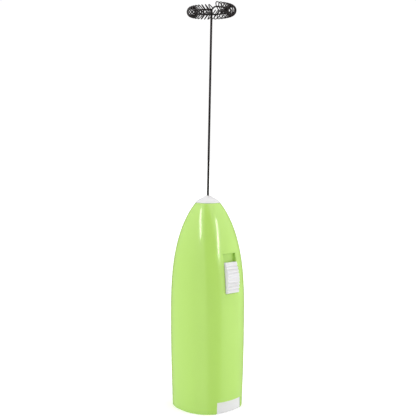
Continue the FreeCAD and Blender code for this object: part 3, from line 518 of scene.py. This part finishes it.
def make_shell():
    rings = [outer_ring(BASE_ROUND * (1 - math.cos(turn)), BASE_ROUND * (1 - math.sin(turn)))
             for turn in quarter_turn(BASE_ROUND_ROWS)]
    rings += [[into_recess(point) for point in outer_ring(level)] for level in shell_levels()[1:-1]]
    rings += [outer_ring(SHELL_TOP - SEAM_ROUND * (1 - math.sin(turn)), SEAM_ROUND * (1 - math.cos(turn)))
              for turn in quarter_turn(SEAM_ROUND_ROWS)]
    shell = ring_solid("handle_shell", rings, smooth=False)

    half_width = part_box("battery_door")[1].x + DOOR_GAP
    top = LEDGE + 2 * DOOR_GAP
    opening = ring_solid("opening", [rounded_rectangle(half_width, DOOR_FRONT + DOOR_GAP,
                                                       DOOR_REAR + 2 * DOOR_GAP, DOOR_CORNER, level)
                                     for level in (-OVERSHOOT, top)], smooth=False)
    barrel = box_solid("barrel_room", (-BARREL_HALF_WIDTH, 0, BARREL_UNDER),
                       (BARREL_HALF_WIDTH, BARREL_REACH, top))
    notch = box_solid("tab_notch", (-NOTCH_HALF_WIDTH, -HALF_DEPTH - OVERSHOOT, NOTCH_UNDER),
                      (NOTCH_HALF_WIDTH, NOTCH_REAR, NOTCH_TOP))
    slot = box_solid("slot", (-SLOT_HALF_WIDTH, SLOT_LOW, -2 * FLOOR_DEPTH),
                     (SLOT_HALF_WIDTH, SLOT_HIGH, FLOOR_DEPTH), on_face)
    bore = ring_solid("nose_bore", [circle(NOSE_BORE, level, BORE_SIDES)
                                    for level in (CAVITY_TOP - OVERSHOOT, SHELL_TOP + OVERSHOOT)],
                      smooth=False)
    cut_by(shell, [make_cavity(), opening, barrel, notch, slot, bore])
    dress(shell, "housing", "shell_plastic", "body_shell")


make_shell()


# ---------------------------------------------------------------- nose cap

CAP_CROWN = 2.1 * MM
CAP_DOME = 0.7 * MM
CAP_LIP = 0.25 * MM
CAP_POWER = 1.45
CAP_ROWS = 26
CAP_ROUND_ROWS = 4
CAP_SIDES = 96
CAP_BORE = 0.85 * MM
CAP_CHAMFER = 0.12 * MM
BUSH_SEAT = 2.1 * MM
BUSH_TOP_DEPTH = 3.6 * MM
BUSH_STEP = 0.1 * MM
SPIGOT_RADIUS = 3.94 * MM


def cap_ring(share, level, inset=0.0):
    """One row of the cap: the handle's section at share 1, a circle as wide as the crown at 0."""
    edge = section_scale(SHELL_TOP)
    width = CAP_CROWN + (HALF_WIDTH * edge - CAP_CROWN) * share - inset
    depth = CAP_CROWN + (HALF_DEPTH * edge - CAP_CROWN) * share - inset
    power = 2 + (SECTION_POWER - 2) * share
    return [Vector((*superellipse(width, depth, 2 * math.pi * k / CAP_SIDES, power), level))
            for k in range(CAP_SIDES)]


def make_cap():
    low, high = [corner.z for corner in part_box("nose_cap")]
    slope = high - SHELL_TOP - CAP_LIP - CAP_DOME
    rings = [cap_ring(1.0, SHELL_TOP + CAP_LIP * (1 - math.sin(turn)), CAP_LIP * (1 - math.cos(turn)))
             for turn in reversed(quarter_turn(CAP_ROUND_ROWS)[:-1])]
    for k in range(CAP_ROWS + 1):
        up = k / CAP_ROWS
        rings.append(cap_ring(1 - up ** CAP_POWER, SHELL_TOP + CAP_LIP + slope * up))
    for turn in quarter_turn(CAP_ROUND_ROWS)[1:]:
        rings.append(cap_ring(0.0, high - CAP_DOME * (1 - math.sin(turn)), CAP_DOME * (1 - math.cos(turn))))
    bush_top = high - BUSH_TOP_DEPTH
    for radius, level in ((CAP_BORE + CAP_CHAMFER, high), (CAP_BORE, high - CAP_CHAMFER),
                          (CAP_BORE, bush_top), (BUSH_SEAT, bush_top - BUSH_STEP), (BUSH_SEAT, low),
                          (SPIGOT_RADIUS, low), (SPIGOT_RADIUS, SHELL_TOP)):
        rings.append(circle(radius, level, CAP_SIDES))
    rings.append(rings[0])
    points = [point for ring in rings for point in ring]
    cap = mesh_object("cap", points, rings_to_faces(CAP_SIDES, len(rings)))
    dress(cap, "housing", "white_plastic", "nose_cap")


make_cap()


# ---------------------------------------------------------------- switch slider

SLIDER_HALF_WIDTH = 4.25 * MM
SLIDER_LOW = -10.4 * MM
SLIDER_HIGH = 5.8 * MM
SLIDER_UNDER = -1.45 * MM
SLIDER_CORNER = 0.3 * MM
SLIDER_SAMPLES = 240
# places across the slider at which the grid has a column, as shares of its half width
SLIDER_COLUMNS = [-1.0, -0.985, -0.95, -0.9, -0.45, 0.0, 0.45, 0.9, 0.95, 0.985, 1.0]
LOWER_END_HEIGHT = 1.0 * MM
UPPER_END_HEIGHT = 0.8 * MM
ARCH_RISE = 1.38 * MM
# ribs, whose depth is least in the middle of the slider's length
RIB_PITCH = 1.75 * MM
RIB_DEPTH = 0.55 * MM
RIB_SHARPNESS = 4
WORN_SHARE = 0.75
WORN_REACH = 0.25
STEM_LOW = (-1.9 * MM, -5.8 * MM, -4.5 * MM)
STEM_HIGH = (1.9 * MM, 0.2 * MM, SLIDER_UNDER)


def crown_height(along):
    """The slider's arched back: height above the switch face at a distance along it."""
    share = (along - SLIDER_LOW) / (SLIDER_HIGH - SLIDER_LOW)
    ends = LOWER_END_HEIGHT + (UPPER_END_HEIGHT - LOWER_END_HEIGHT) * share
    return ends + ARCH_RISE * (1 - (2 * share - 1) ** 2)


def rib_dip(along, to_end):
    """How far the groove between ribs cuts in at a distance along the slider."""
    if to_end <= RIB_PITCH / 2:
        return 0.0
    phase = (along - SLIDER_LOW) / RIB_PITCH
    middle = (2 * along - SLIDER_LOW - SLIDER_HIGH) / (SLIDER_HIGH - SLIDER_LOW)
    depth = RIB_DEPTH * (1 - WORN_SHARE * math.exp(-(middle / WORN_REACH) ** 2))
    return depth * abs(math.cos(math.pi * phase)) ** RIB_SHARPNESS


def corner_drop(to_edge):
    """How far the rounded edge has dropped at a distance in from it."""
    reach = max(SLIDER_CORNER - to_edge, 0.0)
    return SLIDER_CORNER - math.sqrt(max(SLIDER_CORNER ** 2 - reach ** 2, 0.0))


def make_slider():
    profile = []
    for k in range(SLIDER_SAMPLES + 1):
        along = SLIDER_LOW + (SLIDER_HIGH - SLIDER_LOW) * k / SLIDER_SAMPLES
        to_end = min(along - SLIDER_LOW, SLIDER_HIGH - along)
        profile.append((along, crown_height(along) - rib_dip(along, to_end) - corner_drop(to_end)))
    rings = []
    for share in SLIDER_COLUMNS:
        across = SLIDER_HALF_WIDTH * share
        blunt = corner_drop(SLIDER_HALF_WIDTH - abs(across))
        ring = [on_face(across, along, height - blunt) for along, height in profile]
        ring += [on_face(across, SLIDER_HIGH, SLIDER_UNDER), on_face(across, SLIDER_LOW, SLIDER_UNDER)]
        rings.append(ring)
    dress(ring_solid("slider", rings), "switch", "white_plastic", "switch_slider")
    dress(box_solid("slider_stem", STEM_LOW, STEM_HIGH, on_face), "switch", "white_plastic")


make_slider()


# ---------------------------------------------------------------- whisk

LEAN_POINT = Vector((0, 0, 115.2 * MM))
RING_CENTRE = Vector((1.198 * MM, -1.06 * MM, 212.1 * MM))
RING_RADIUS = 10.5 * MM
TURN_RADIUS = 2.46 * MM
TURN_WIRE = 0.27 * MM
ROD_RADIUS = 0.6 * MM
CORE_RADIUS = 0.4 * MM
TURNS = 34
TURN_SAMPLES = 28
SPOKE = math.radians(236.2)
RING_GAP = math.radians(12.0)
RING_STEP = 0.8 * MM
CANT = -1.6 * MM
# the core's stretch of the ring, as shares of the way round, and its points
CORE_START = 0.012
CORE_STOP = 0.995
CORE_POINTS = 180
# the stem's steps up to the ring, and how many points are kept below the bend into the spoke
STEM_POINTS = 30
STEM_KEPT = 29
BEND_RADIUS = 1.2 * MM
# points of the bend: the rod ends inside it and the thinner core starts before that end
ROD_END = 6
CORE_FIRST = 3


def ring_point(share):
    """The ring's centre line, dropping like a split washer: share runs round it from the spoke."""
    turn = SPOKE + RING_GAP / 2 + (2 * math.pi - RING_GAP) * share
    outward = Vector((math.cos(turn), math.sin(turn), 0))
    onward = Vector((-math.sin(turn), math.cos(turn), 0))
    middle = RING_CENTRE + outward * RING_RADIUS + Vector((0, 0, RING_STEP * (1 - 2 * share)))
    return middle, outward, onward


def make_coil():
    samples = TURNS * TURN_SAMPLES
    path = []
    for k in range(samples + 1):
        middle, outward, onward = ring_point(k / samples)
        turn = 2 * math.pi * TURNS * k / samples
        path.append(middle + outward * TURN_RADIUS * math.cos(turn)
                    - Vector((0, 0, TURN_RADIUS * math.sin(turn))) - onward * CANT * math.sin(turn))
    dress(sweep("ring_coil", path, TURN_WIRE, sides=10), "whisk", "whisk_wire", "whisk_coil")


def rounded_path(corners, radius, steps=10):
    """Straight runs through the corners, joined by tangent arcs."""
    path = [corners[0]]
    for before, corner, after in zip(corners, corners[1:], corners[2:]):
        inward, onward = (before - corner).normalized(), (after - corner).normalized()
        half = inward.angle(onward) / 2
        setback = radius / math.tan(half)
        centre = corner + (inward + onward).normalized() * radius / math.sin(half)
        start = (corner + inward * setback - centre).normalized()
        stop = (corner + onward * setback - centre).normalized()
        path += [centre + start.slerp(stop, k / steps) * radius for k in range(steps + 1)]
    return path + [corners[-1]]


def make_rod():
    outward = Vector((math.cos(SPOKE), math.sin(SPOKE), 0))
    level = RING_CENTRE + Vector((0, 0, RING_STEP))
    loop = [ring_point(CORE_START + (CORE_STOP - CORE_START) * k / CORE_POINTS)[0]
            for k in range(CORE_POINTS + 1)]
    foot = Vector((0, 0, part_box("whisk_rod")[0].z))
    stem = [foot] + [LEAN_POINT + (level - LEAN_POINT) * k / STEM_POINTS for k in range(STEM_KEPT)]
    bent = rounded_path([stem[-1], level, level + outward * RING_RADIUS, loop[0]], BEND_RADIUS)[1:]
    rod = sweep("rod", stem + bent[:ROD_END], ROD_RADIUS, sides=14)
    dress(rod, "whisk", "whisk_wire", "whisk_rod")
    core = sweep("ring_core", bent[CORE_FIRST:] + loop[1:], CORE_RADIUS, sides=12)
    dress(core, "whisk", "whisk_wire")


make_coil()
make_rod()


# ---------------------------------------------------------------- carried-over parts

def dress_cad_nodes():
    """The hidden parts keep their CAD shapes and get their own materials."""
    for row in frame["record"]["subparts"]:
        item = frame["nodes"][row["node"]]
        if item.hide_render:
            continue
        item.data.materials.clear()
        item.data.materials.append(MATERIALS[row["material_slot"]])


dress_cad_nodes()


# ---------------------------------------------------------------- studio

CAMERA_TURN = math.radians(43.2)
CAMERA_DISTANCE = 0.4236
CAMERA_HEIGHT = 0.1403
CAMERA_PITCH = math.radians(4.39)
CAMERA_ROLL = math.radians(0.2)
CAMERA_SHIFT = 0.08 * MM
LENS = 68.2
SENSOR_WIDTH = 36.0
LIGHT_TARGET = Vector((0, 0, 90 * MM))
STRIP_DISTANCE = 1.0
FLOOR_REACH = 6.0
STUDIO_STRENGTH = 1.02
CEILING_LEVEL = 2.0
# the dark opening beside the camera: its turn from the camera, and how its place leans with height
OPENING_TURN = math.radians(20)
OPENING_LEAN = 0.4
# light round the opening and from the camera to the dim wall behind the object, as (cosine of the
# angle from the opening or from the camera, level)
OPENING_STOPS = [(-1.0, 1.0), (0.84, 1.0), (0.92, 0.02), (1.0, 0.0)]
BACK_STOPS = [(-1.0, 0.05), (-0.86, 0.1), (-0.74, 0.6), (-0.1, 1.0), (1.0, 1.0)]


def round_camera(turn, rise=0.0):
    """A direction from the object: turned from the camera towards its right, and raised."""
    back = Vector((-math.sin(CAMERA_TURN), -math.cos(CAMERA_TURN), 0))
    right = Vector((math.cos(CAMERA_TURN), -math.sin(CAMERA_TURN), 0))
    level = back * math.cos(turn) + right * math.sin(turn)
    return level * math.cos(rise) + Vector((0, 0, math.sin(rise)))


def make_camera():
    data = bpy.data.cameras.new("camera")
    data.lens = LENS
    data.sensor_width = SENSOR_WIDTH
    camera = add_object("camera", data)
    camera.location = (round_camera(0) * CAMERA_DISTANCE + round_camera(math.pi / 2) * CAMERA_SHIFT
                       + Vector((0, 0, CAMERA_HEIGHT)))
    camera.rotation_mode = "XYZ"
    camera.rotation_euler = (math.pi / 2 - CAMERA_PITCH, 0, -CAMERA_TURN)
    camera.rotation_euler.rotate_axis("Z", CAMERA_ROLL)
    bpy.context.scene.camera = camera


def feed(tree, socket, value):
    """Link a socket to another's output, or give it a fixed value."""
    if isinstance(value, bpy.types.NodeSocket):
        tree.links.new(value, socket)
    else:
        socket.default_value = value


def vector_math(tree, operation, first, second=None):
    """The result of a vector operation; for SCALE, the second value is the factor."""
    node = tree.nodes.new("ShaderNodeVectorMath")
    node.operation = operation
    feed(tree, node.inputs[0], first)
    if second is not None:
        feed(tree, node.inputs["Scale" if operation == "SCALE" else 1], second)
    return node.outputs["Value" if operation == "DOT_PRODUCT" else "Vector"]


def level_towards(tree, heading, direction, stops):
    """A grey level read from the stops by how nearly the heading points along a direction."""
    shift = tree.nodes.new("ShaderNodeMapRange")
    shift.inputs["From Min"].default_value = -1.0
    tree.links.new(vector_math(tree, "DOT_PRODUCT", heading, direction), shift.inputs["Value"])
    ramp = tree.nodes.new("ShaderNodeValToRGB")
    tree.links.new(shift.outputs["Result"], ramp.inputs["Fac"])
    marks = ramp.color_ramp.elements
    for position, _ in stops[1:-1]:
        marks.new((position + 1) / 2)
    for mark, (position, level) in zip(marks, stops):
        mark.position = (position + 1) / 2
        mark.color = (level, level, level, 1)
    return ramp.outputs["Color"]


def make_world():
    """A white studio with a dark opening beside the camera and a dim wall behind the object.

    The ceiling is brighter than the rest, and the camera itself sees plain white.
    """
    world = bpy.data.worlds.new("studio")
    bpy.context.scene.world = world
    world.use_nodes = True
    tree = world.node_tree
    background = tree.nodes["Background"]
    path = tree.nodes.new("ShaderNodeLightPath")
    place = tree.nodes.new("ShaderNodeTexCoord")
    split = tree.nodes.new("ShaderNodeSeparateXYZ")
    heading = place.outputs["Generated"]
    tree.links.new(heading, split.inputs["Vector"])
    lean = vector_math(tree, "SCALE", round_camera(math.pi / 2) * OPENING_LEAN - Vector((0, 0, 1)),
                       split.outputs["Z"])
    levelled = vector_math(tree, "NORMALIZE", vector_math(tree, "ADD", heading, lean))
    opening = level_towards(tree, levelled, round_camera(OPENING_TURN), OPENING_STOPS)
    wall = level_towards(tree, heading, round_camera(0), BACK_STOPS)
    height = tree.nodes.new("ShaderNodeMapRange")
    height.inputs["To Min"].default_value = 1.0
    height.inputs["To Max"].default_value = CEILING_LEVEL
    tree.links.new(split.outputs["Z"], height.inputs["Value"])
    lit = vector_math(tree, "SCALE", vector_math(tree, "MULTIPLY", opening, wall),
                      height.outputs["Result"])
    mix = tree.nodes.new("ShaderNodeMix")
    mix.data_type = "RGBA"
    mix.inputs["B"].default_value = (1, 1, 1, 1)
    tree.links.new(lit, mix.inputs["A"])
    tree.links.new(path.outputs["Is Camera Ray"], mix.inputs["Factor"])
    tree.links.new(mix.outputs["Result"], background.inputs["Color"])
    background.inputs["Strength"].default_value = STUDIO_STRENGTH


def add_area_light(name, width, tall, power):
    """A rectangular lamp the camera does not see."""
    data = bpy.data.lights.new(name, "AREA")
    data.shape = "RECTANGLE"
    data.size = width
    data.size_y = tall
    data.energy = power
    lamp = add_object(name, data)
    lamp.visible_camera = False
    return lamp


def make_panel(name, turn, distance, height, width, tall, power):
    """A soft light panel that faces the object; turn is from the camera towards its right, in degrees."""
    panel = add_area_light(name, width, tall, power)
    panel.location = round_camera(math.radians(turn)) * distance
    panel.location.z = height
    panel.rotation_mode = "QUATERNION"
    panel.rotation_quaternion = (LIGHT_TARGET - panel.location).to_track_quat("-Z", "Y")


def make_strip(name, low, high, width, power):
    """A narrow lamp between two directions, each a turn from the camera and a rise in degrees.

    It shows only in reflections.
    """
    first, last = [LIGHT_TARGET + round_camera(*map(math.radians, place)) * STRIP_DISTANCE
                   for place in (low, high)]
    strip = add_area_light(name, (last - first).length, width, power)
    along = (last - first).normalized()
    away = ((first + last) / 2 - LIGHT_TARGET).normalized()
    across = away.cross(along).normalized()
    strip.matrix_world = Matrix((along, across, along.cross(across))).transposed().to_4x4()
    strip.location = (first + last) / 2
    strip.visible_diffuse = False


def make_floor():
    """A plain pale floor."""
    material, tree, shader, place = start_material("floor")
    shader.inputs["Roughness"].default_value = 0.8
    shader.inputs["Specular IOR Level"].default_value = 0.1
    colour = mix_colours(tree, noise(tree, place, 6.0), (0.90, 0.90, 0.90), (0.92, 0.92, 0.92))
    tree.links.new(colour, shader.inputs["Base Color"])
    shader.inputs["Emission Color"].default_value = (1, 1, 1, 1)
    shader.inputs["Emission Strength"].default_value = 0.25
    corners = [(-FLOOR_REACH, -FLOOR_REACH, 0), (FLOOR_REACH, -FLOOR_REACH, 0),
               (FLOOR_REACH, FLOOR_REACH, 0), (-FLOOR_REACH, FLOOR_REACH, 0)]
    floor = mesh_object("floor", corners, [(0, 1, 2, 3)])
    floor.data.materials.append(material)
    floor.visible_glossy = False


make_camera()
make_world()
make_panel("right_panel", turn=88, distance=0.7, height=0.25, width=1.1, tall=0.9, power=0.8)
make_strip("left_strip", low=(-39, 26), high=(-80, 48), width=0.07, power=3.6)
make_strip("right_strip", low=(46, 10), high=(62, 40), width=0.08, power=3.4)
make_floor()
bpy.context.scene.view_settings.view_transform = "Standard"
